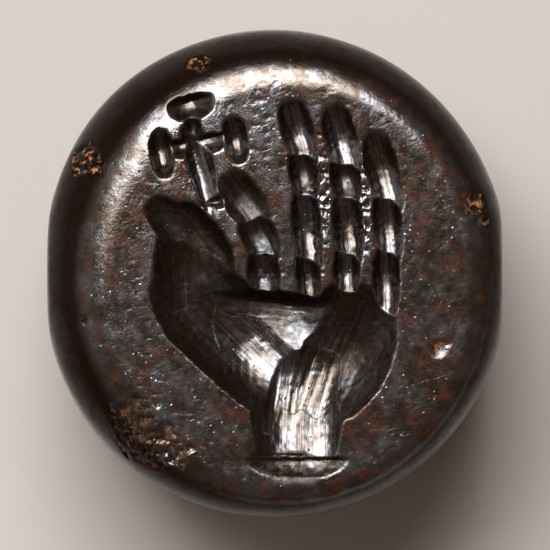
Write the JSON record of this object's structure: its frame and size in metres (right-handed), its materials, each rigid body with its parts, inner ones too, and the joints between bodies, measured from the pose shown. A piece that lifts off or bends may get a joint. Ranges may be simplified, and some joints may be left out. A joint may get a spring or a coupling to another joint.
{
  "type": "stamp seal",
  "caption": "Domed stamp seal of polished haematite, bored from side to side, with a raised hand and a small cross engraved in its flat face.",
  "frame": {"origin": "centre of the small flat on the crown of the dome, which the seal lies on, face up", "axes": "+Z out of the engraved face, +Y towards the fingertips of the hand, X along the bore"},
  "size_m": [0.0138, 0.0152, 0.0106],
  "materials": {
    "haematite": "polished, metallic grey-brown glint with rust-red mottling"
  },
  "bodies": {
    "root": {"seal_stone": "haematite"}
  },
  "joints": []
}
